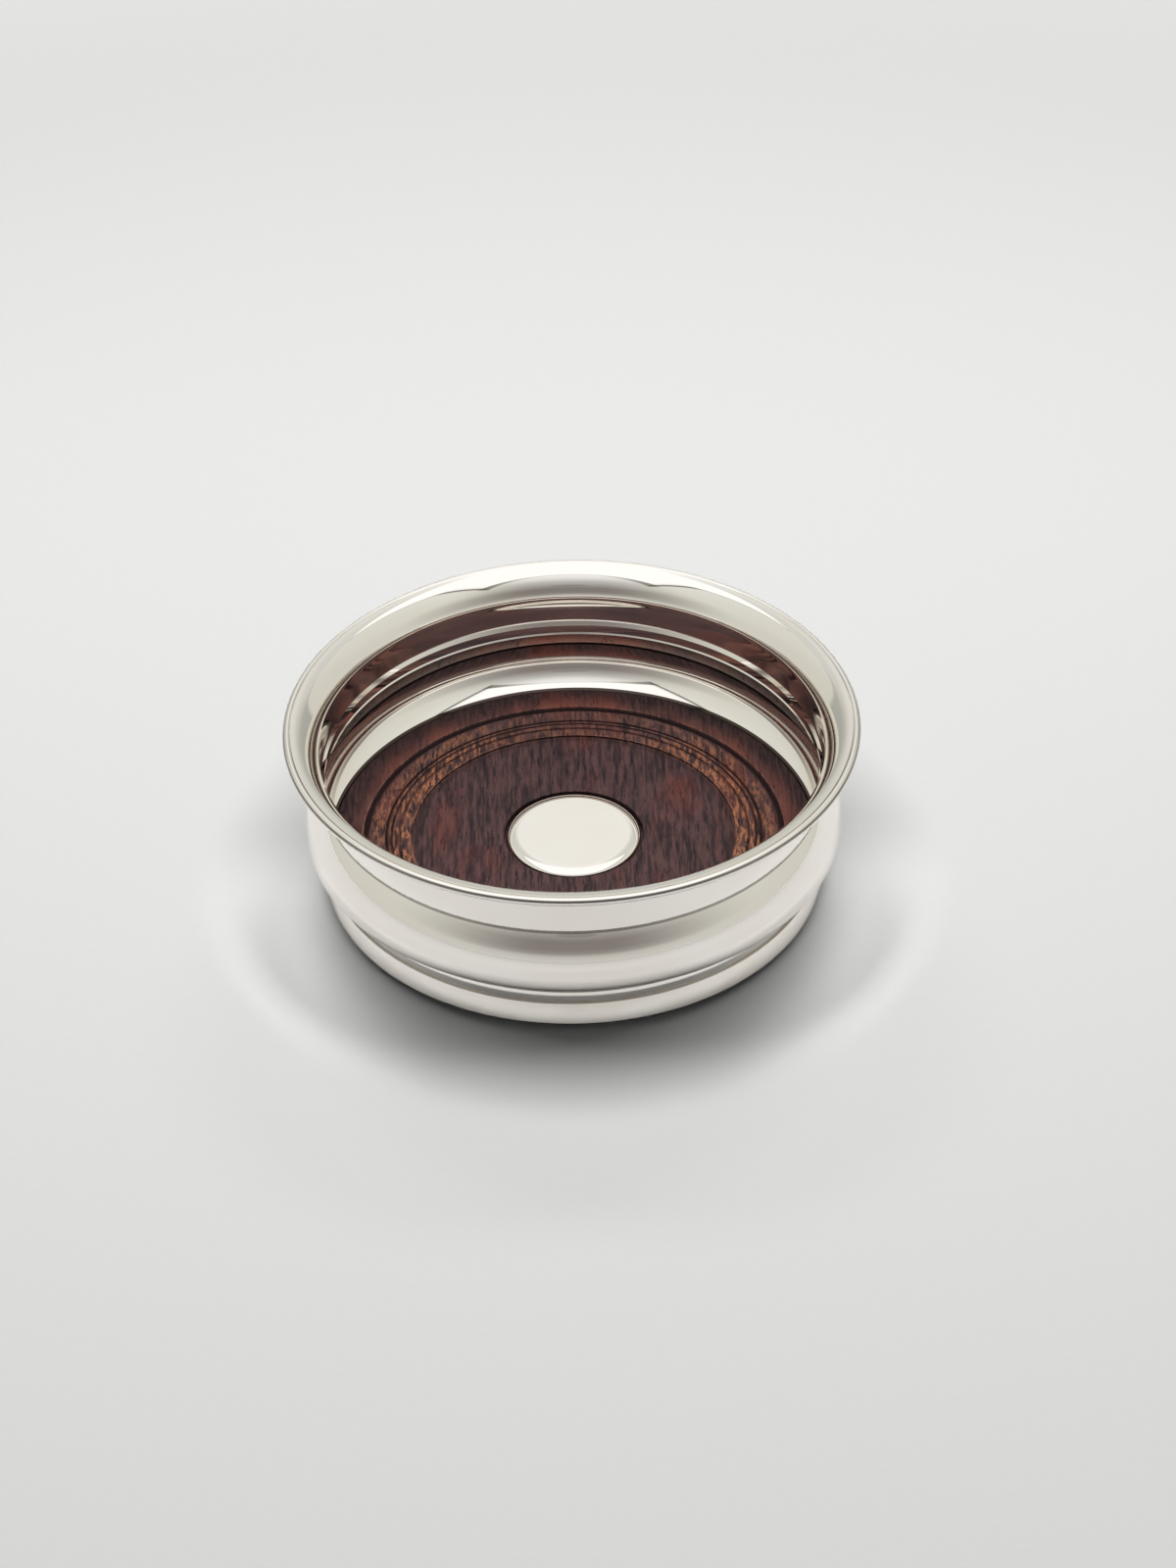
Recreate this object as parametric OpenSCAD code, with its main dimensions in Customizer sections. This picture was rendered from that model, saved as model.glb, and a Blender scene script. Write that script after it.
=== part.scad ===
// Wine bottle coaster: a spun silver gallery on a turned wooden base, with a
// silver boss in the middle and baize underneath. Sizes are in millimetres,
// +Z is up, and the origin is the middle of the baize, on the table.

/* [Gallery] */
// Diameter over the rim wire
rim_d = 130; // [120:1:150]
// Height of the middle of the rim wire above the table
rim_h = 41.5; // [38:0.5:50]
// Thickness of the spun silver sheet
sheet_t = 0.5; // [0.4:0.1:0.8]
// Height of the lip above the middle of the rim wire
lip_rise = 0.4; // [0:0.05:0.5]
// How far the lip leans out from upright, in degrees
lip_turn = 75; // [60:1:85]
// How far the lean of the lip is carried into the flare
lip_reach = 2.4; // [1:0.1:4]
// How far the upright of the collar is carried into the flare
collar_reach = 7.6; // [4:0.1:9]
// How far the collar stands in from the outside of the rim
collar_in = 7.5; // [6:0.1:9]
// Height from the middle of the rim wire down to where the flare is upright
flare_h = 11.1; // [9:0.1:12]
// Height of the upright collar
collar_h = 2.3; // [1:0.1:3]
// Depth of the small step under the collar
step_in = 0.45; // [0.2:0.05:0.8]
// Height of the small step
step_h = 0.7; // [0.4:0.1:1.5]
// How far the belly swells out past the collar
belly_out = 3.85; // [2.5:0.05:5]
// Height of the widest line of the belly above the table
belly_h = 17.3; // [15:0.1:20]
// How far the neck slopes from upright under the step, in degrees
neck_turn = 39; // [25:1:50]
// How far the belly stays upright below its widest line
belly_reach = 1.2; // [0.5:0.1:3]
// How far the belly turns from upright down to the crease, in degrees
belly_turn = 56; // [40:1:70]
// How far that slope is carried up from the crease
crease_reach = 4.6; // [2:0.1:5]
// Height of the crease under the belly above the table
crease_h = 9.9; // [8:0.1:12]
// Depth of the crease behind the foot wall
crease_in = 0.25; // [0.05:0.05:0.4]
// How far the wall slopes from upright under the crease, in degrees
crease_turn = 15; // [10:1:40]
// How far the foot wall stands in from the collar
foot_in = 0.9; // [0.5:0.1:2]

/* [Rim wire] */
// Diameter of the wire round the lip
wire_d = 1.9; // [1.4:0.1:3]
// Share of the wire's radius left inside its middle, where it is filed flat
wire_flat_share = 0.6; // [0.3:0.05:0.9]

/* [Foot band] */
// Height of the foot band
band_h = 5.7; // [4:0.1:7]
// Thickness of the foot band along its top edge
band_top_t = 0.4; // [0.3:0.05:1]
// Thickness of the foot band along its bottom edge
band_foot_t = 0.6; // [0.3:0.05:1.2]
// Radius of the softened edges of the foot band
band_round = 0.12; // [0.05:0.01:0.15]

/* [Wooden base] */
// Height of the top of the wood above the table
wood_h = 10.4; // [9.5:0.1:12]
// Radius of the softened top edge of the wood
wood_round = 0.6; // [0.3:0.1:1]
// Height of the wooden shoulder that shows under the foot band
shoulder_h = 0.8; // [0.5:0.1:1.5]
// How far the shoulder stands in from the foot band
shoulder_in = 0.5; // [0.2:0.1:1.5]
// Depth of the flat floor below the top of the wood
floor_depth = 0.8; // [0.8:0.1:3]
// Radius of the round hollow between the flat floor and its upright edge
floor_cove = 0.3; // [0.2:0.1:0.5]
// Distance of the sharp groove in from the edge of the wood
groove_in = 7.8; // [5:0.1:9]
// Width of the sharp groove
groove_w = 1.3; // [0.8:0.1:2]
// Depth of the sharp groove
groove_depth = 0.9; // [0.4:0.1:1.5]
// Width of the half round bead inside the groove
bead_w = 3.8; // [2:0.1:5]
// Width of each of the three fine lines inside the bead
quirk_w = 0.6; // [0.3:0.1:0.8]
// Width of the flat strip between the outer and the middle fine line
strip_w = 0.6; // [0.3:0.1:1.5]
// Depth of each fine line
quirk_depth = 0.45; // [0.2:0.05:0.8]
// Rise of the half round bead above its edges
bead_rise = 0.5; // [0.2:0.1:0.8]
// Width of the flat strip between the middle and the inner fine line
reed_w = 1.1; // [0.6:0.1:2]
// Width of the shallow cove round the floor
cove_w = 2.7; // [2:0.1:5]
// Depth of the shallow cove
cove_depth = 0.35; // [0.2:0.05:0.8]

/* [Boss] */
// Diameter of the silver boss
boss_d = 30.8; // [24:0.1:36]
// Height that the boss stands above the flat floor
boss_proud = 0.65; // [0.2:0.05:1.5]
// Height of the boss over all
boss_h = 2.2; // [1.5:0.1:3]
// Thickness of the boss's sheet
boss_t = 0.5; // [0.4:0.1:0.8]
// Width of the rounded edge of the boss
boss_edge_w = 3.2; // [1.5:0.1:5]
// Height of the rounded edge of the boss
boss_edge_h = 1.3; // [0.9:0.1:1.8]
// Diameter of the peg soldered under the boss
peg_d = 3.2; // [2:0.1:5]
// Diameter of the head of the peg
peg_head_d = 9; // [6:0.5:14]
// Thickness of the head of the peg
peg_head_t = 0.7; // [0.4:0.1:1.2]

/* [Pins] */
// Number of silver pins through the foot
pin_count = 4; // [3:1:8]
// Diameter of a pin
pin_d = 1.2; // [0.8:0.1:2]
// How far a pin reaches into the wood
pin_reach = 6; // [3:0.5:10]
// Direction of the first pin, in degrees
pin_start = 45; // [0:5:90]

/* [Baize] */
// Thickness of the baize
baize_t = 0.6; // [0.4:0.1:1.5]
// How far the baize stands in from the edge of the wood
baize_in = 0.8; // [0.4:0.1:3]

/* [Fits] */
// Gap at a soldered or glued seat
seat_gap = 0.02; // [0.01:0.01:0.05]
// Gap between the wood and the silver round it
wood_gap = 0.08; // [0.05:0.01:0.2]
// Gap round the boss in its recess
boss_gap = 0.65; // [0.3:0.05:1]
// Gap round a pin or peg in its hole
hole_gap = 0.05; // [0.03:0.01:0.15]

/* [Hidden] */
$fn = 180;
// Amount by which a cut runs past the surface that it cuts
overrun = 1;
// Steps along each long curve and each short one
curve_steps = 10;
short_steps = 5;
silver = "#d9d6cf";
mahogany = "#4a2320";
baize_green = "#2c3a33";

// Heights of the lines round the gallery, from the rim down
wire_r = wire_d / 2;
wire_ring_r = rim_d / 2 - wire_r;
wire_flat_r = wire_ring_r - wire_flat_share * wire_r;
lip_r = wire_flat_r - seat_gap;
lip_h = rim_h + lip_rise;
collar_r = rim_d / 2 - collar_in;
collar_top = rim_h - flare_h;
collar_foot = collar_top - collar_h;
neck_top = collar_foot - step_h;
neck_r = collar_r - step_in;
belly_r = collar_r + belly_out;
foot_r = collar_r - foot_in;
band_foot = baize_t + shoulder_h;
band_top = band_foot + band_h;
crease_r = foot_r - crease_in;
crease_foot = crease_h - crease_in / tan(crease_turn);

// The wood inside the foot wall
foot_inner_r = foot_r - crease_in - sheet_t;
wood_r = foot_inner_r - wood_gap;
shoulder_r = foot_r + band_foot_t - shoulder_in;
floor_h = wood_h - floor_depth;
groove_r = wood_r - groove_in;
outer_quirk_r = groove_r - groove_w / 2 - bead_w - quirk_w / 2;
middle_quirk_r = outer_quirk_r - quirk_w - strip_w;
inner_quirk_r = middle_quirk_r - quirk_w - reed_w;
floor_r = inner_quirk_r - quirk_w / 2 - cove_w;

// The boss in its recess
boss_r = boss_d / 2;
boss_top = floor_h + boss_proud;
recess_h = boss_top - boss_h;
recess_r = boss_r + boss_gap;
pin_h = (band_foot + band_top) / 2;

// Points on an arc of an ellipse, from one angle to another
function ellipse_arc(centre, half_w, half_h, from, to, steps) =
    [for (i = [0 : steps])
        let (a = from + (to - from) * i / steps)
        centre + [half_w * cos(a), half_h * sin(a)]];

// Direction down a wall that leans out from upright by an angle
function down(turn) = [-sin(turn), -cos(turn)];

// A smooth curve down a wall, from one point and lean to another
function swept(top, top_turn, top_reach, foot, foot_turn, foot_reach) =
    let (top_handle = top + down(top_turn) * top_reach,
         foot_handle = foot - down(foot_turn) * foot_reach)
    [for (i = [0 : curve_steps])
        let (b = i / curve_steps, a = 1 - b)
        a * a * a * top + 3 * a * a * b * top_handle
            + 3 * a * b * b * foot_handle + b * b * b * foot];

// The flare, from the lip down to where it stands upright
function flare_path() =
    swept([lip_r, lip_h], lip_turn, lip_reach,
          [collar_r, collar_top], 0, collar_reach);

// The neck slopes out from the step and rounds over to the widest line
function neck_path() =
    let (half_w = (belly_r - neck_r) / (1 - cos(neck_turn)),
         half_h = (neck_top - belly_h) / sin(neck_turn))
    ellipse_arc([belly_r - half_w, belly_h], half_w, half_h,
                neck_turn, 0, curve_steps);

// The lower belly turns in from its widest line to the crease
function belly_path() =
    swept([belly_r, belly_h], 0, belly_reach,
          [crease_r, crease_h], belly_turn, crease_reach);

// The outside of the gallery, from the lip to the bottom edge
function gallery_path() =
    concat(flare_path(),
           [[collar_r, collar_foot]],
           neck_path(),
           [for (i = [1 : curve_steps]) belly_path()[i]],
           [[foot_r, crease_foot], [foot_r, band_foot]]);

// Unit vector from one point to another, and that vector turned inwards
function unit(a, b) = (b - a) / norm(b - a);
function inward(v) = [v[1], -v[0]];

// A path moved sideways by one thickness, with mitred corners
function inner_path(path, thickness) =
    let (last = len(path) - 1)
    [for (i = [0 : last])
        let (before = unit(path[max(i - 1, 0)], path[max(i, 1)]),
             after = unit(path[min(i, last - 1)], path[min(i + 1, last)]),
             middle = inward(before) + inward(after))
        path[i] + middle * 2 * thickness / (middle * middle)];

function reversed(list) = [for (i = [len(list) - 1 : -1 : 0]) list[i]];

// Holes for the pins, all round the foot
module pin_holes() {
    for (i = [0 : pin_count - 1])
        rotate([0, 0, pin_start + i * 360 / pin_count])
            translate([foot_r - pin_reach - sheet_t - hole_gap, 0, pin_h])
                rotate([0, 90, 0])
                    cylinder(h = pin_reach + sheet_t + band_foot_t + overrun,
                             d = pin_d + 2 * hole_gap, $fn = 48);
}

// One spun sheet: flare, collar, step, belly, crease and foot wall
module gallery() {
    path = gallery_path();
    color(silver)
        difference() {
            rotate_extrude()
                polygon(concat(path, reversed(inner_path(path, sheet_t))));
            pin_holes();
        }
}

// Wire soldered round the lip, filed flat where it meets the sheet
module rim_wire() {
    color(silver)
        rotate_extrude()
            intersection() {
                translate([wire_ring_r, rim_h])
                    circle(d = wire_d, $fn = 48);
                translate([wire_flat_r, rim_h - wire_d])
                    square([2 * wire_d, 2 * wire_d]);
            }
}

// Flat strip soldered round the foot wall, with softened edges
module foot_band() {
    inner = foot_r + seat_gap;
    top_r = foot_r + band_top_t;
    bottom_r = foot_r + band_foot_t;
    color(silver)
        difference() {
            rotate_extrude()
                polygon(concat(
                    [[inner, band_foot], [inner, band_top]],
                    ellipse_arc([top_r - band_round, band_top - band_round],
                                band_round, band_round, 90, 0, short_steps),
                    ellipse_arc([bottom_r - band_round, band_foot + band_round],
                                band_round, band_round, 0, -90, short_steps)));
            pin_holes();
        }
}

// Silver pins through band and wall into the wood, filed flush outside
module foot_pins() {
    flush = foot_r + (band_top_t + band_foot_t) / 2;
    tip = foot_r - sheet_t - pin_reach;
    color(silver)
        for (i = [0 : pin_count - 1])
            rotate([0, 0, pin_start + i * 360 / pin_count])
                translate([tip, 0, pin_h])
                    rotate([0, 90, 0])
                        cylinder(h = flush - tip, d = pin_d, $fn = 48);
}

// The turned top of the base, from its edge in to the flat floor
function moulding_path() =
    let (lip = groove_r - groove_w / 2,
         bead_foot = outer_quirk_r + quirk_w / 2,
         cove_start = inner_quirk_r - quirk_w / 2,
         half_bead = (lip - bead_foot) / 2,
         half_cove = (cove_start - floor_r) / 2,
         line_h = wood_h - bead_rise / 2)
    concat(
        ellipse_arc([wood_r - wood_round, wood_h - wood_round],
                    wood_round, wood_round, 0, 90, short_steps),
        [[groove_r + groove_w / 2, wood_h],
         [groove_r, wood_h - groove_depth]],
        ellipse_arc([lip - half_bead, line_h - bead_rise / 2],
                    half_bead, bead_rise, 0, 180, curve_steps),
        [[outer_quirk_r, line_h - bead_rise / 2 - quirk_depth],
         [outer_quirk_r - quirk_w / 2, line_h],
         [middle_quirk_r + quirk_w / 2, line_h],
         [middle_quirk_r, line_h - quirk_depth],
         [middle_quirk_r - quirk_w / 2, line_h],
         [inner_quirk_r + quirk_w / 2, line_h],
         [inner_quirk_r, line_h - quirk_depth],
         [cove_start, line_h]],
        ellipse_arc([cove_start - half_cove, line_h],
                    half_cove, cove_depth, 0, -180, curve_steps),
        ellipse_arc([floor_r - floor_cove, floor_h + floor_cove],
                    floor_cove, floor_cove, 0, -90, short_steps));

// Turned mahogany, let up into the foot wall from below
module wood_base() {
    hole_r = peg_d / 2 + hole_gap;
    color(mahogany)
        difference() {
            rotate_extrude()
                polygon(concat(
                    [[hole_r, baize_t],
                     [shoulder_r, baize_t],
                     [shoulder_r, band_foot - seat_gap],
                     [wood_r, band_foot - seat_gap]],
                    moulding_path(),
                    [[recess_r, floor_h],
                     [recess_r, recess_h],
                     [hole_r, recess_h]]));
            pin_holes();
        }
}

// Pressed silver cap with a rounded edge
module boss() {
    edge_centre = [boss_r - boss_edge_w, boss_top - boss_edge_h];
    color(silver)
        rotate_extrude()
            polygon(concat(
                [[0, boss_top - boss_t], [0, boss_top]],
                ellipse_arc(edge_centre, boss_edge_w, boss_edge_h,
                            90, 0, curve_steps),
                [[boss_r, recess_h + seat_gap],
                 [boss_r - boss_t, recess_h + seat_gap]],
                ellipse_arc(edge_centre, boss_edge_w - boss_t,
                            boss_edge_h - boss_t, 0, 90, curve_steps)));
}

// Peg with a flat head, soldered under the cap and driven into the wood
module boss_peg() {
    head_top = boss_top - boss_t - seat_gap;
    color(silver)
        union() {
            translate([0, 0, head_top - peg_head_t])
                cylinder(h = peg_head_t, d = peg_head_d, $fn = 96);
            translate([0, 0, baize_t + seat_gap])
                cylinder(h = head_top - baize_t - 2 * seat_gap, d = peg_d,
                         $fn = 48);
        }
}

// Disc of green baize glued under the wood
module baize_pad() {
    color(baize_green)
        cylinder(h = baize_t - seat_gap, r = shoulder_r - baize_in);
}

gallery();
rim_wire();
foot_band();
foot_pins();
wood_base();
boss();
boss_peg();
baize_pad();
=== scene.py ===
# A bottle coaster: a spun silver gallery with a wired rim and a foot band,
# round a turned mahogany base with a silver boss in its middle.
# Lengths in the sections are in millimetres, and mm turns them into metres.
import math

import bmesh
import bpy
from mathutils import Matrix, Vector


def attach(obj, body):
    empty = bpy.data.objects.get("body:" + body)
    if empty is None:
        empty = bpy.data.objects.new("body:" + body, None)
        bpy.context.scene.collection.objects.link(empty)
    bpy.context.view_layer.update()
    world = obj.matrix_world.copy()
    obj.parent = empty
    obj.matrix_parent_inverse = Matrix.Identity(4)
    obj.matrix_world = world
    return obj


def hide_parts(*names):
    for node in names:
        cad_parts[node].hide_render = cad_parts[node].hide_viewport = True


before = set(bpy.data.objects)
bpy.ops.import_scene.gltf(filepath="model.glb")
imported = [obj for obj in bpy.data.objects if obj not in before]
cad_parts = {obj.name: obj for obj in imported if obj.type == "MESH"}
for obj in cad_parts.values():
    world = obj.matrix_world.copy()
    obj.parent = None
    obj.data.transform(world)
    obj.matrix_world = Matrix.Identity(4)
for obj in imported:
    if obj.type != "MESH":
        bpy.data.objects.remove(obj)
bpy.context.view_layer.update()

mm = 0.001

# GALLERY
# The wall of the coaster: one sheet of silver spun over a chuck into a flare,
# a small step, a belly and an upright foot. It is polished inside and out,
# and the rim wire, the foot band and the pins hold its two edges.
sheet = 0.5
lip = (63.46, 41.9)
collar_radius, collar_top, collar_foot = 57.5, 32.7, 28.1
neck_radius, neck_top = 57.05, 27.4
belly = (61.28, 16.1)
crease = (56.35, 9.9)
foot_radius, foot_top, foot_edge = 56.6, 8.97, 1.4


def down(lean):
    """The direction down a wall that leans out from upright by an angle."""
    return Vector((-math.sin(math.radians(lean)), -math.cos(math.radians(lean))))


def swept(top, top_lean, top_reach, foot, foot_lean, foot_reach, steps=40):
    """Points on a smooth curve down a wall, from one lean to another."""
    top, foot = Vector(top), Vector(foot)
    handles = top + down(top_lean) * top_reach, foot - down(foot_lean) * foot_reach
    return [
        (1 - t) ** 3 * top
        + 3 * (1 - t) ** 2 * t * handles[0]
        + 3 * (1 - t) * t**2 * handles[1]
        + t**3 * foot
        for t in (i / steps for i in range(steps + 1))
    ]


def arc(centre, half_width, half_height, start, end, steps=24):
    """Points on an arc of an ellipse, from one angle to another in degrees."""
    angles = (math.radians(start + (end - start) * i / steps) for i in range(steps + 1))
    return [
        Vector((centre[0] + half_width * math.cos(a), centre[1] + half_height * math.sin(a)))
        for a in angles
    ]


def inside(path, thickness):
    """The path moved in by one thickness of sheet, with mitred corners."""
    moved = []
    for i, point in enumerate(path):
        before = (path[max(i, 1)] - path[max(i - 1, 0)]).normalized()
        after = (path[min(i + 1, len(path) - 1)] - path[min(i, len(path) - 2)]).normalized()
        middle = Vector((before.y + after.y, -before.x - after.x))
        moved.append(point + middle * 2 * thickness / middle.dot(middle))
    return moved


def softened(path, radius, least_turn=12, steps=6):
    """The closed path with each corner that turns sharply rounded over."""
    rounded = []
    for i, corner in enumerate(path):
        back, on = path[i - 1] - corner, path[(i + 1) % len(path)] - corner
        turn = math.degrees(math.pi - back.angle(on))
        if turn < least_turn:
            rounded.append(corner)
            continue
        reach = radius * math.tan(math.radians(turn) / 2)
        reach = min(reach, back.length * 0.45, on.length * 0.45)
        start, end = corner + back.normalized() * reach, corner + on.normalized() * reach
        for k in range(steps + 1):
            t = k / steps
            rounded.append((1 - t) ** 2 * start + 2 * (1 - t) * t * corner + t**2 * end)
    return rounded


def spin_tree(name):
    """Spins a profile of edges in the XZ plane into a closed turned piece."""
    tree = bpy.data.node_groups.new(name, "GeometryNodeTree")
    face = tree.interface
    face.new_socket("Profile", in_out="INPUT", socket_type="NodeSocketGeometry")
    for label, kind, start in (
        ("Divisions", "NodeSocketInt", 320),
        ("Sharp angle", "NodeSocketFloat", math.radians(32)),
        ("Finish", "NodeSocketMaterial", None),
    ):
        socket = face.new_socket(label, in_out="INPUT", socket_type=kind)
        if start is not None:
            socket.default_value = start
    face.new_socket("Piece", in_out="OUTPUT", socket_type="NodeSocketGeometry")

    def add(kind, joined=(), **settings):
        node = tree.nodes.new(kind)
        for key, value in settings.items():
            setattr(node, key, value)
        for socket, value in joined:
            if isinstance(value, bpy.types.NodeSocket):
                tree.links.new(value, node.inputs[socket])
            else:
                node.inputs[socket].default_value = value
        return node

    given = add("NodeGroupInput").outputs
    count = add(
        "GeometryNodeAttributeDomainSize", [(0, given["Profile"])], component="MESH"
    ).outputs["Point Count"]
    columns = add(
        "FunctionNodeIntegerMath", [(0, given["Divisions"]), (1, 1)], operation="ADD"
    ).outputs[0]
    rows = add("FunctionNodeIntegerMath", [(0, count), (1, 1)], operation="ADD").outputs[0]
    grid = add("GeometryNodeMeshGrid", [("Vertices X", columns), ("Vertices Y", rows)])
    index = add("GeometryNodeInputIndex").outputs[0]
    column = add(
        "FunctionNodeIntegerMath", [(0, index), (1, rows)], operation="DIVIDE_FLOOR"
    ).outputs[0]
    row = add("FunctionNodeIntegerMath", [(0, index), (1, rows)], operation="MODULO").outputs[0]
    row = add("FunctionNodeIntegerMath", [(0, row), (1, count)], operation="MODULO").outputs[0]
    place = add("GeometryNodeInputPosition").outputs[0]
    point = add(
        "GeometryNodeSampleIndex",
        [("Geometry", given["Profile"]), ("Value", place), ("Index", row)],
        data_type="FLOAT_VECTOR",
        domain="POINT",
    ).outputs["Value"]
    turn = add(
        "ShaderNodeMath", [(0, column), (1, given["Divisions"])], operation="DIVIDE"
    ).outputs[0]
    turn = add("ShaderNodeMath", [(0, turn), (1, math.tau)], operation="MULTIPLY").outputs[0]
    spun = add(
        "ShaderNodeVectorRotate",
        [("Vector", point), ("Angle", turn), ("Axis", (0, 0, 1))],
        rotation_type="AXIS_ANGLE",
    ).outputs[0]
    shaped = add("GeometryNodeSetPosition", [(0, grid.outputs["Mesh"]), ("Position", spun)])
    merged = add("GeometryNodeMergeByDistance", [(0, shaped.outputs[0]), ("Distance", 2e-7)])
    angle = add("GeometryNodeInputMeshEdgeAngle").outputs[0]
    sharp = add(
        "FunctionNodeCompare",
        [("A", angle), ("B", given["Sharp angle"])],
        data_type="FLOAT",
        operation="GREATER_THAN",
    ).outputs[0]
    smooth = add("GeometryNodeSetShadeSmooth", [(0, merged.outputs[0])], domain="FACE")
    edged = add(
        "GeometryNodeSetShadeSmooth",
        [(0, smooth.outputs[0]), ("Selection", sharp), ("Shade Smooth", False)],
        domain="EDGE",
    )
    real = add("GeometryNodeRealizeInstances", [(0, edged.outputs[0])])
    done = add("GeometryNodeSetMaterial", [(0, real.outputs[0]), ("Material", given["Finish"])])
    add("NodeGroupOutput", [(0, done.outputs[0])])
    return tree


spinning = spin_tree("Spun piece")


def spun_piece(name, profile, finish, node, divisions=320):
    """A turned or spun piece from its closed profile, standing for a CAD node."""
    mesh = bpy.data.meshes.new(name)
    count = len(profile)
    mesh.from_pydata(
        [(p.x * mm, 0, p.y * mm) for p in profile],
        [(i, (i + 1) % count) for i in range(count)],
        [],
    )
    piece = bpy.data.objects.new(name, mesh)
    bpy.context.scene.collection.objects.link(piece)
    spin = piece.modifiers.new("Spin", "NODES")
    spin.node_group = spinning
    given = {
        s.name: s.identifier for s in spinning.interface.items_tree if s.in_out == "INPUT"
    }
    spin[given["Divisions"]] = divisions
    spin[given["Finish"]] = finish
    graph = bpy.context.evaluated_depsgraph_get()
    made = bpy.data.meshes.new_from_object(piece.evaluated_get(graph))
    piece.modifiers.remove(spin)
    piece.data = made
    made.name = name
    shell = bmesh.new()
    shell.from_mesh(made)
    bmesh.ops.dissolve_degenerate(shell, dist=1e-7, edges=shell.edges[:])
    bmesh.ops.recalc_face_normals(shell, faces=shell.faces[:])
    shell.to_mesh(made)
    shell.free()
    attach(piece, "root")
    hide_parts(node)
    return piece


class Reading:
    """A socket of a shader that takes part in sums."""

    def __init__(self, shader, socket):
        self.shader, self.socket = shader, socket

    def __add__(self, other):
        return self.shader.maths("ADD", self, other)

    def __sub__(self, other):
        return self.shader.maths("SUBTRACT", self, other)

    def __rsub__(self, other):
        return self.shader.maths("SUBTRACT", other, self)

    def __mul__(self, other):
        return self.shader.maths("MULTIPLY", self, other)

    def __truediv__(self, other):
        return self.shader.maths("DIVIDE", self, other)

    def __rtruediv__(self, other):
        return self.shader.maths("DIVIDE", other, self)

    def __pow__(self, other):
        return self.shader.maths("POWER", self, other)

    def __neg__(self):
        return self * -1

    def __abs__(self):
        return self.shader.maths("ABSOLUTE", self)

    __radd__, __rmul__ = __add__, __mul__


class Shader:
    """The nodes of one finish, or of the light round the coaster."""

    def __init__(self, owner):
        owner.use_nodes = True
        self.tree = owner.node_tree
        self.tree.nodes.clear()

    def node(self, kind, settings=(), values=(), out=0):
        """Adds a node, with its settings made first and its sockets then filled."""
        made = self.tree.nodes.new("ShaderNode" + kind)
        for key, value in dict(settings).items():
            setattr(made, key, value)
        for key, value in dict(values).items():
            if isinstance(value, Reading):
                self.tree.links.new(value.socket, made.inputs[key])
            else:
                made.inputs[key].default_value = value
        return Reading(self, made.outputs[out]) if made.outputs else made

    def maths(self, operation, *terms):
        return self.node("Math", {"operation": operation}, dict(enumerate(terms)))

    def axes(self, place):
        """The x, y and z of a vector."""
        parts = self.node("SeparateXYZ", {}, {0: place}).socket.node
        return [Reading(self, socket) for socket in parts.outputs]

    def noise(self, place, scale, detail=2.0, stretch=(1, 1, 1), roughness=0.5):
        """Clouds or grain, stretched along an axis by a number below 1."""
        moved = self.node("Mapping", {}, {"Vector": place, "Scale": stretch})
        return self.node(
            "TexNoise",
            {},
            {"Vector": moved, "Scale": scale, "Detail": detail, "Roughness": roughness},
        )

    def ramp(self, value, low, high, from_low=0.0, from_high=1.0):
        """A value carried smoothly from one range to another."""
        return self.node(
            "MapRange",
            {"interpolation_type": "SMOOTHSTEP"},
            {0: value, 1: from_low, 2: from_high, 3: low, 4: high},
        )

    def blend(self, amount, first, second, mode="MIX"):
        """The second colour laid over the first one."""
        return self.node(
            "Mix",
            {"data_type": "RGBA", "blend_type": mode},
            {0: amount, 6: first, 7: second},
            out=2,
        )

    def shaded(self, amount, colour, factor):
        """The colour made darker or lighter by a factor."""
        changed = self.blend(1.0, colour, (factor, factor, factor, 1), "MULTIPLY")
        return self.blend(amount, colour, changed)

    def stops(self, value, *stops):
        """A colour from a value, through (place, colour) stops in rising order."""
        made = self.node("ValToRGB", {}, {0: value})
        elements = made.socket.node.color_ramp.elements
        elements[0].position, elements[1].position = stops[0][0], stops[-1][0]
        for place, _ in stops[1:-1]:
            elements.new(place)
        for element, (_, colour) in zip(elements, stops):
            element.color = (*colour, 1)
        return made

    def bumped(self, height, strength, depth=0.0002, **more):
        """A normal tilted by a height in metres."""
        return self.node(
            "Bump", {}, {"Strength": strength, "Distance": depth, "Height": height, **more}
        )

    def surface(self, **values):
        """Ends a finish in a principled surface."""
        sockets = {key.replace("_", " "): value for key, value in values.items()}
        made = self.node("BsdfPrincipled", {}, sockets)
        self.node("OutputMaterial", {}, {"Surface": made})


# The last colour is the dark of painted shade in joins, partly black oxide.
silver, worn_silver, tarnish_and_shade = (0.955, 0.915, 0.872), (0.93, 0.87, 0.79), (0.05, 0.03, 0.022)


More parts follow.
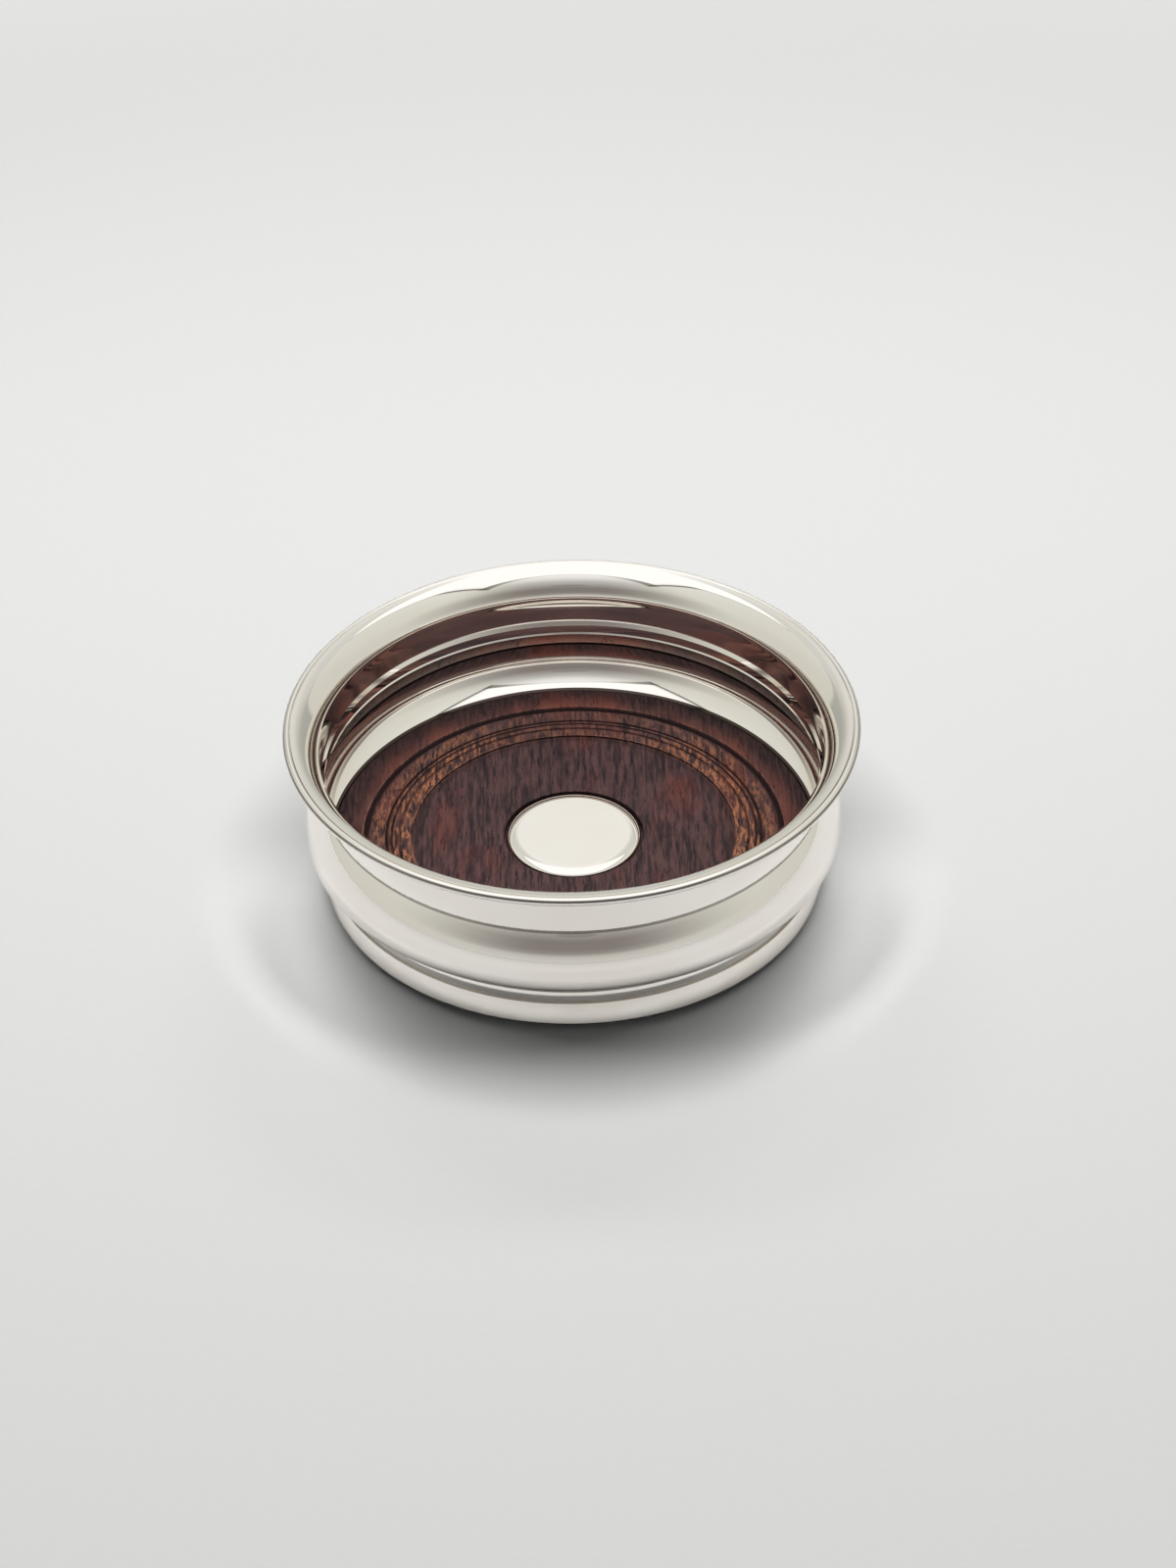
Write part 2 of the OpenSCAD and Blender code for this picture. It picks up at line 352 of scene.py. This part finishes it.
def polished_silver(name, gloss=0.05, satin=0.0, lean=0.0, shaded_seams=(), dulled=()):
    """Old polished silver: slightly warm, with fine wear in every direction.

    Gloss is the roughness of the polish, and satin the wear over it. Lean
    tilts the face up, in degrees, like a band that widens to its foot.
    Each seam is a height, half its width, the two radii it lies between and
    how dark its painted shade is, partly black oxide. Each dulled zone is a
    height, half its width and the roughness it adds.
    """
    material = bpy.data.materials.new(name)
    shader = Shader(material)
    place = shader.node("TexCoord", out=3)
    cloud = shader.noise(place, 60, 3)
    fine = shader.noise(place, 900, 2, (1, 1, 0.06))
    colour = shader.blend(
        shader.ramp(cloud, 0, 0.5, 0.35, 0.75), (*silver, 1), (*worn_silver, 1)
    )
    x, y, z = shader.axes(place)
    radius, height = (x * x + y * y) ** 0.5 / mm, z / mm
    # Each seam lays a band of painted shade, partly black oxide, on the silver.
    for seam, half, nearest, farthest, dark in shaded_seams:
        seam_shade = shader.ramp(abs(height - seam), dark, 0, half * 0.4, half)
        seam_shade = seam_shade * shader.ramp(radius, 0, 1, nearest - 0.05, nearest)
        seam_shade = seam_shade * shader.ramp(radius, 1, 0, farthest, farthest + 0.05)
        colour = shader.blend(seam_shade, colour, (*tarnish_and_shade, 1))
    rough = gloss + satin + shader.ramp(cloud, 0, gloss * 0.6, 0.4, 0.8) + fine * gloss * 0.5
    for middle, half, added in dulled:
        rough = rough + shader.ramp(abs(height - middle), added, 0, half * 0.7, half)
    normal = shader.bumped(fine, 0.006)
    if lean:
        slope = z * -math.tan(math.radians(lean))
        normal = shader.bumped(slope, 1.0, 1.0, Normal=normal)
    shader.surface(Base_Color=colour, Metallic=1.0, Roughness=rough, Normal=normal)
    return material


foot_wall = [Vector((foot_radius, foot_top)), Vector((foot_radius, foot_edge))]
shoulder, waist = (61.05, 41.08), (57.87, 36.77)
flare = (
    swept(lip, 76, 0.8, shoulder, 51, 0.7)
    + swept(shoulder, 51, 1.5, waist, 20, 1.9)[1:]
    + swept(waist, 20, 0.45, (collar_radius, collar_top), 0, 2.8)[1:]
)
outside = (
    flare
    + [Vector((collar_radius, collar_foot))]
    + swept((neck_radius, neck_top), -38.5, 4.0, belly, 0, 4.9)
    + swept(belly, 0, 2.9, crease, 46, 5.6)[1:]
    + foot_wall
)

# Inside, the step is a little higher and sharper, with a second small crease
# under it, and the belly follows a fuller curve.
inner_belly, neck_turn, lining_top = Vector((61.35, 17.3)), 39, 25.9
neck_half_width = (inner_belly.x - neck_radius) / (1 - math.cos(math.radians(neck_turn)))
neck_half_height = (neck_top - inner_belly.y) / math.sin(math.radians(neck_turn))
neck_centre = (inner_belly.x - neck_half_width, inner_belly.y)
lower_wall = (
    arc(neck_centre, neck_half_width, neck_half_height, neck_turn, 0)
    + swept(inner_belly, 0, 1.2, crease, 56, 4.6)[1:]
    + foot_wall
)
inner_step = ((57.0, 30.2), (56.93, 29.9), (56.42, 28.9), (56.4, 28.6))
second_crease = ((56.43, 26.85), (56.13, 26.45))
lining = (
    inside(flare, sheet)
    + [Vector(point) for point in inner_step + second_crease]
    + [point for point in inside(lower_wall, sheet) if point.y < lining_top]
)

# Painted shade, partly black oxide, darkens the silver under the rim wire, in the
# step, in the crease and inside, where the wall meets the wood. The collar is a little rubbed.
gallery_silver = polished_silver(
    "gallery_silver",
    0.02,
    shaded_seams=(
        (40.55, 0.28, 62, 66, 0.9),
        (27.35, 0.4, 56.9, 58, 0.55),
        (9.85, 0.25, 56.2, 57, 0.35),
        (10.4, 2.0, 54, 56.35, 0.97),
    ),
    dulled=((32.0, 2.3, 0.07),),
)
spun_piece("gallery_shell", softened(outside + lining[::-1], 0.1), gallery_silver, "gallery")

# RIM WIRE
# A ring of round silver wire, filed flat on its inner side and soldered
# round the lip of the gallery to stiffen it.
rim_radius, rim_height = 65.0, 41.5
wire_radius, wire_inside = 0.95, 0.57
wire_ring = rim_radius - wire_radius
filed = math.degrees(math.acos(wire_inside / wire_radius))
# A band of painted shade darkens the upper outer side of the wire.
spun_piece(
    "rim_wire_ring",
    arc((wire_ring, rim_height), wire_radius, wire_radius, -180 + filed, 180 - filed, 40),
    polished_silver("rim_silver", 0.025, shaded_seams=((41.95, 0.38, 64.6, 66, 0.75),)),
    "rim_wire",
)

# FOOT BAND
# A flat strip of silver soldered round the foot wall, its edges softened and
# its face left a little duller than the spun sheet above it.
band_foot, band_top = 1.4, 7.1
solder, top_face, foot_face = 0.02, 0.43, 0.63
strip = [
    Vector((foot_radius + solder, band_foot)),
    Vector((foot_radius + solder, band_top)),
    Vector((foot_radius + top_face, band_top)),
    Vector((foot_radius + foot_face, band_foot)),
]
# Painted shade darkens the join along the top of the band.
spun_piece(
    "foot_band_ring",
    softened(strip, 0.1),
    polished_silver(
        "band_silver", 0.08, satin=0.1, lean=16.5, shaded_seams=((7.15, 0.25, 56, 58, 0.6),)
    ),
    "foot_band",
)

# FOOT PINS
# Four silver pins through the band and the foot wall into the wood, filed
# flush so that they hardly show.
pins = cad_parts["foot_pins"]
pins.data.materials.clear()
pins.data.materials.append(polished_silver("pin_silver", 0.1, satin=0.2))

# WOODEN BASE
# Mahogany turned on a faceplate: a flat border, a sharp groove, a half round
# bead with two fine lines, a shallow cove and a sunk floor for the bottle.
wood_radius, wood_top, wood_foot, wood_round = 55.77, 10.4, 0.6, 0.6
floor_radius, floor_height, floor_round = 37.32, 9.6, 0.3
shoulder_radius, shoulder_top = 56.7, 1.38
groove_radius, groove_half, groove_depth = 47.97, 0.65, 0.9
line_height, bead_half, bead_rise = 10.15, 1.9, 0.5
line_half, bead_line_depth, line_depth, cove_depth = 0.3, 0.7, 0.45, 0.35
recess_radius, recess_floor = 16.05, 8.05
peg_hole = 1.65
bead_outer = groove_radius - groove_half
outer_line = bead_outer - 2 * bead_half - line_half
middle_line = outer_line - 1.2
inner_line = middle_line - 1.7
cove_outer = inner_line - line_half
cove_half = (cove_outer - floor_radius) / 2


def mahogany(name):
    """Stained and polished mahogany, its grain along Y, with turned rings."""
    material = bpy.data.materials.new(name)
    shader = Shader(material)
    place = shader.node("TexCoord", out=3)
    x, y, z = shader.axes(place)
    radius = (x * x + y * y) ** 0.5 / mm
    wander = shader.noise(place, 160, 2)
    ring = radius + wander * 0.8 - 0.4
    grain = shader.noise(place, 1350, 5, (1, 0.10, 0.5), 0.68)
    pores = shader.noise(place, 2200, 2, (1, 0.14, 1), 0.5)
    figure = shader.noise(place, 90, 3, (1, 0.35, 1), 0.6)
    dark, light = (0.0050, 0.0034, 0.0040, 1), (0.0225, 0.0117, 0.0111, 1)
    colour = shader.blend(shader.ramp(grain, 0, 1, 0.37, 0.63), dark, light)
    colour = shader.blend(
        shader.ramp(figure, 0, 0.45, 0.5, 0.8), colour, (0.042, 0.009, 0.006, 1)
    )

    # The cove and the bead are turned across the grain, which shows there as
    # orange streaks, most of all at the two sides.
    cove = shader.ramp(ring, 0, 1, 36.9, 37.6) * shader.ramp(ring, 1, 0.6, 40.0, 43.0)
    cove = cove * shader.ramp(ring, 1, 0, 45.5, 47.5)
    flame = shader.noise(place, 1300, 4, (1, 0.2, 1), 0.7)
    streak = shader.ramp(flame, 0, 1, 0.47, 0.58) * cove
    streak = streak * shader.ramp(abs(x) / mm, 0.35, 0.95, 8, 34)
    colour = shader.blend(streak, colour, (0.080, 0.032, 0.0165, 1))
    border = shader.ramp(radius, 0, 1, 48.4, 48.9) * shader.ramp(ring, 1, 0, 49.2, 54)
    border = border * shader.ramp(figure, 0.1, 0.6, 0.35, 0.65)
    colour = shader.blend(border, colour, (0.048, 0.0155, 0.0110, 1))
    filled = shader.ramp(pores, 0, 0.8, 0.60, 0.72)
    colour = shader.blend(filled, colour, (0.006, 0.003, 0.004, 1))

    # The arrises by the floor and the groove carry painted highlights, and painted
    # shade, partly old polish, lies in the lines and along the silver wall.
    # Painted highlights along the two arrises.
    for arris, half in ((floor_radius + 0.33, 0.22), (groove_radius + 0.78, 0.18)):
        arris_highlight = shader.ramp(abs(radius - arris), 0.45, 0, half * 0.3, half)
        arris_highlight = arris_highlight * shader.ramp(grain, 0.1, 1, 0.4, 0.6)
        colour = shader.blend(arris_highlight, colour, (0.080, 0.036, 0.022, 1))
    # Painted shade, partly old polish, darkens the groove, the fine lines, the edge by the silver
    # wall and the edge of the sunk floor.
    polish_and_shade = 0
    for line, half, depth in (
        (groove_radius, 0.55, 0.96),
        (outer_line, 0.4, 0.8),
        (middle_line, 0.35, 0.75),
        (inner_line, 0.35, 0.6),
        (wood_radius + 0.2, 0.9, 0.97),
        (floor_radius - 0.9, 0.8, 0.4),
    ):
        band = shader.ramp(abs(radius - line), depth, 0, half * 0.45, half * 1.15)
        polish_and_shade = shader.maths("MAXIMUM", polish_and_shade, band)
    colour = shader.blend(polish_and_shade, colour, (0.004, 0.002, 0.002, 1))
    height = grain * 0.5 + flame * cove * 0.5 - shader.ramp(pores, 0, 0.8, 0.58, 0.72)
    shader.surface(
        Base_Color=colour,
        Roughness=0.34 + grain * 0.2 + shader.ramp(pores, 0, 0.2, 0.6, 0.75),
        Specular_IOR_Level=0.11,
        Normal=shader.bumped(height, 0.6),
    )
    return material


floor_corner = (floor_radius - floor_round, floor_height + floor_round)
turned_top = (
    arc((wood_radius - wood_round, wood_top - wood_round), wood_round, wood_round, 0, 90, 8)
    + [
        Vector((groove_radius + groove_half, wood_top)),
        Vector((groove_radius, wood_top - groove_depth)),
    ]
    + arc((bead_outer - bead_half, line_height - bead_rise / 2), bead_half, bead_rise, 0, 180)
    + [
        Vector((outer_line, line_height - bead_line_depth)),
        Vector((outer_line - line_half, line_height)),
        Vector((middle_line + line_half, line_height)),
        Vector((middle_line, line_height - line_depth)),
        Vector((middle_line - line_half, line_height)),
        Vector((inner_line + line_half, line_height)),
        Vector((inner_line, line_height - line_depth)),
        Vector((cove_outer, line_height)),
    ]
    + arc((cove_outer - cove_half, line_height), cove_half, cove_depth, 0, -180)[1:]
    + arc(floor_corner, floor_round, floor_round, 0, -90, 8)
)
turned_wood = (
    [
        Vector((peg_hole, wood_foot)),
        Vector((shoulder_radius, wood_foot)),
        Vector((shoulder_radius, shoulder_top)),
        Vector((wood_radius, shoulder_top)),
    ]
    + turned_top
    + [
        Vector((recess_radius, floor_height)),
        Vector((recess_radius, recess_floor)),
        Vector((peg_hole, recess_floor)),
    ]
)
spun_piece(
    "turned_base", softened(turned_wood, 0.25, 20), mahogany("polished_mahogany"), "wood_base", 384
)

# BOSS
# A thin silver cap with a rounded edge, pressed to shape and sunk into a
# recess in the middle of the floor. Its top is flat and plain.
boss_radius, boss_top = 15.4, 10.25
edge_width, edge_height = 3.2, 1.3
boss_sheet, boss_foot = 0.5, 8.07
edge_centre = (boss_radius - edge_width, boss_top - edge_height)
cap = (
    [Vector((0, boss_top - boss_sheet)), Vector((0, boss_top))]
    + arc(edge_centre, edge_width, edge_height, 90, 0, 32)
    + [Vector((boss_radius, boss_foot)), Vector((boss_radius - boss_sheet, boss_foot))]
    + arc(edge_centre, edge_width - boss_sheet, edge_height - boss_sheet, 0, 90)
)
spun_piece("boss_cap", cap, polished_silver("boss_silver", 0.035), "boss", 256)

# BOSS PEG
# The peg soldered under the cap, which is driven into the wood. It is out of
# sight once the boss is home.
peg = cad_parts["boss_peg"]
peg.data.materials.clear()
peg.data.materials.append(polished_silver("peg_silver", 0.12))

# BAIZE PAD
# A disc of green wool baize glued under the wood, so that the coaster slides
# on a polished table. Only its edge can be seen.
baize_radius, baize_thickness = 55.9, 0.58
material = bpy.data.materials.new("green_baize")
shader = Shader(material)
place = shader.node("TexCoord", out=3)
nap = shader.noise(place, 1400, 4)
shader.surface(
    Base_Color=shader.blend(nap, (0.010, 0.030, 0.018, 1), (0.035, 0.075, 0.045, 1)),
    Roughness=0.95,
    Sheen_Weight=0.3,
    Normal=shader.bumped(nap, 0.5),
)
disc = [
    Vector((0, 0)),
    Vector((baize_radius, 0)),
    Vector((baize_radius, baize_thickness)),
    Vector((0, baize_thickness)),
]
baize = spun_piece("baize_disc", softened(disc, 0.15), material, "baize_pad", 192)

# FLOOR
# A sheet of pale paper, painted darker behind the coaster and paler far out,
# and painted lighter on both sides of the coaster for the light the polished
# flare throws there. Far out it turns black and glows with the colour of the
# tent walls, so that it fades into them.
def seen(red, green, blue):
    """A colour of the tent from how bright it looks in the silver."""
    return tuple(
        ((v / 255 + 0.055) / 1.055) ** 2.4 / s for v, s in zip((red, green, blue), silver)
    )


edge = 1.25
corners = [(-edge, -edge, 0), (edge, -edge, 0), (edge, edge, 0), (-edge, edge, 0)]
floor_mesh = bpy.data.meshes.new("floor")
floor_mesh.from_pydata(corners, [], [(0, 1, 2, 3)])
floor = bpy.data.objects.new("floor", floor_mesh)
bpy.context.scene.collection.objects.link(floor)
material = bpy.data.materials.new("floor_paper")
shader = Shader(material)
place = shader.node("TexCoord", out=3)
tooth = shader.noise(place, 500, 3)
x, y, z = shader.axes(place)
away = (x * x + y * y) ** 0.5
colour = shader.blend(tooth, (0.157, 0.159, 0.157, 1), (0.163, 0.165, 0.163, 1))
# Painted shade makes the paper darker behind the coaster, and painted light makes it paler far
# out.
colour = shader.shaded(shader.ramp(y, 0, 1, 0.10, 0.50), colour, 0.86)
colour = shader.blend(shader.ramp(away, 0, 0.2, 0.4, 1.1), colour, (0.9, 0.9, 0.9, 1))
# Painted light on both sides of the coaster, for the light the polished flare throws there.
painted_side_light = shader.ramp(abs(x), 0, 1, 0.028, 0.062) * shader.ramp(away, 1, 0, 0.066, 0.09)
painted_side_light = painted_side_light * shader.ramp(y, 1, 0, -0.012, 0.02)
colour = shader.shaded(painted_side_light, colour, 1.55)
# Painted glow: far out the paper turns black and glows the colour of the tent walls.
painted_far_glow, black = shader.ramp(away, 0, 1, 0.75, 1.2), (0, 0, 0, 1)
shader.surface(
    Base_Color=shader.blend(painted_far_glow, colour, black),
    Roughness=0.9,
    Emission_Color=shader.blend(painted_far_glow, black, (*seen(195, 191, 180), 1)),
    Emission_Strength=1.0,
)
floor_mesh.materials.append(material)

# LIGHT TENT
# What the silver mirrors: warm white walls, a bright framed panel overhead, and
# a darker opening with the lens in it. It throws no light on the floor.
world = bpy.data.worlds.new("light_tent")
bpy.context.scene.world = world
shader = Shader(world)
place = shader.node("TexCoord", out=0)
x, y, z = shader.axes(place)

# From 0 overhead to 1 on the horizon, and the angle round from the camera.
zenith = shader.maths("ARCCOSINE", z) / (math.pi / 2)
level = (x * x + y * y + 1e-6) ** 0.5
ahead = shader.maths("ARCCOSINE", -y / level) / math.pi * 180
walls = shader.stops(
    zenith,
    (0.40, seen(222, 219, 209)),
    (0.56, seen(215, 212, 200)),
    (0.67, seen(214, 210, 198)),
    (0.78, seen(208, 205, 193)),
    (1.00, seen(205, 201, 189)),
)
opening = shader.stops(
    zenith,
    (0.36, seen(238, 237, 230)),
    (0.43, seen(222, 220, 213)),
    (0.51, seen(185, 182, 177)),
    (0.60, seen(158, 153, 147)),
    (0.69, seen(128, 122, 115)),
    (0.80, seen(130, 123, 117)),
    (0.87, seen(146, 141, 134)),
    (0.92, seen(185, 181, 174)),
    (1.00, seen(200, 196, 187)),
)
back = shader.stops(
    zenith,
    (0.40, seen(242, 239, 230)),
    (0.59, seen(235, 231, 222)),
    (0.72, seen(210, 206, 196)),
    (0.84, seen(197, 195, 185)),
    (1.00, seen(189, 189, 180)),
)
back = shader.shaded(shader.ramp(ahead, 1, 0, 158, 174), back, 0.74)
opening_edge = shader.ramp(zenith, 62, 84, 0.55, 0.72)
colour = shader.blend(shader.ramp(ahead, 1, 0, 12, opening_edge), walls, opening)
colour = shader.blend(shader.ramp(ahead, 0, 1, 134, 138), colour, back)

# The panel lies flat above the coaster. Its front edge is bowed, and its
# sides and front are framed in black.
across, along = abs(x / z), y / z
above = shader.ramp(z, 0, 1, 0.05, 0.1)
bow = across * across * 0.30
behind_edge, far_end = along + bow, shader.ramp(along, 1, 0, 0.60, 0.66)
panel = (
    shader.ramp(across, 1, 0, 0.55, 0.66)
    * shader.ramp(behind_edge, 0, 1, -0.555, -0.53)
    * far_end
    * above
)
side_frame = (
    shader.ramp(across, 0, 1, 0.61, 0.63)
    * shader.ramp(across, 1, 0, 0.65, 0.69)
    * shader.ramp(along, 0, 1, -0.82, -0.76)
    * far_end
    * above
)
front_frame = (
    shader.ramp(behind_edge, 1, 0, -0.555, -0.535)
    * shader.ramp(behind_edge + bow, 0, 1, -0.60, -0.565)
    * shader.ramp(across, 0.25, 1, 0.1, 0.6)
    * shader.ramp(across, 1, 0, 0.66, 0.72)
    * above
)
lens = ((across / 0.22) ** 2 + ((along + 1.45) / 0.10) * ((along + 1.45) / 0.10)) ** 0.5
glow = shader.blend(
    shader.ramp(across, 0, 1, 0.50, 1.0), (1.1, 1.1, 1.1, 1), (*seen(196, 198, 193), 1)
)
for strength, tone in (
    (side_frame * 0.85, (0.06, 0.055, 0.045, 1)),
    (front_frame * 0.7, (0.12, 0.115, 0.10, 1)),
    (shader.ramp(lens, 0.25, 0, 0.8, 1.2) * above, (0.05, 0.045, 0.045, 1)),
    (panel, glow),
):
    colour = shader.blend(strength, colour, tone)
light = shader.node("Background", {}, {"Color": colour, "Strength": 1.0})
shader.node("OutputWorld", {}, {"Surface": light})
world.cycles_visibility.diffuse = False

# LAMPS
# Soft lamps above the tent: two long ones set in a V that opens behind the
# coaster, and weaker ones further behind and in front. They light the floor
# and the wood, and the silver doesn't mirror them.
lamp_height = 1.2
for label, spot, turned, size, power in (
    ("lamp_left", (-0.29, 0.22), 33, (0.22, 0.80), 38),
    ("lamp_right", (0.29, 0.22), -33, (0.22, 0.80), 38),
    ("lamp_behind_left", (-0.55, 1.5), 0, (0.7, 0.4), 27),
    ("lamp_behind_right", (0.55, 1.5), 0, (0.7, 0.4), 27),
    ("lamp_front", (0, -1.5), 0, (0.4, 0.4), 12),
):
    lamp_data = bpy.data.lights.new(label, "AREA")
    lamp_data.shape = "RECTANGLE"
    lamp_data.size, lamp_data.size_y = size
    lamp_data.energy = power
    lamp_data.color = (1.0, 0.99, 0.985)
    lamp = bpy.data.objects.new(label, lamp_data)
    lamp.location = (*spot, lamp_height)
    lamp.rotation_euler = (0, 0, math.radians(-turned))
    lamp.visible_glossy = False
    bpy.context.scene.collection.objects.link(lamp)

# CAMERA
# The photograph's camera, solved from the rings of the coaster. It stands in
# front and looks down by nearly 38 degrees.
bpy.context.scene.view_settings.view_transform = "Standard"
camera_data = bpy.data.cameras.new("camera")
camera_data.lens, camera_data.sensor_width = 81, 36
camera_data.clip_start, camera_data.clip_end = 0.01, 50
camera = bpy.data.objects.new("camera", camera_data)
bpy.context.scene.collection.objects.link(camera)
right = Vector((0.999755, -0.016569, -0.014672))
up = Vector((0.02171, 0.605513, 0.795539))
camera.matrix_world = Matrix.Translation((0, -0.64077, 0.51166)) @ Matrix(
    (right, up, right.cross(up))
).transposed().to_4x4()
bpy.context.scene.camera = camera
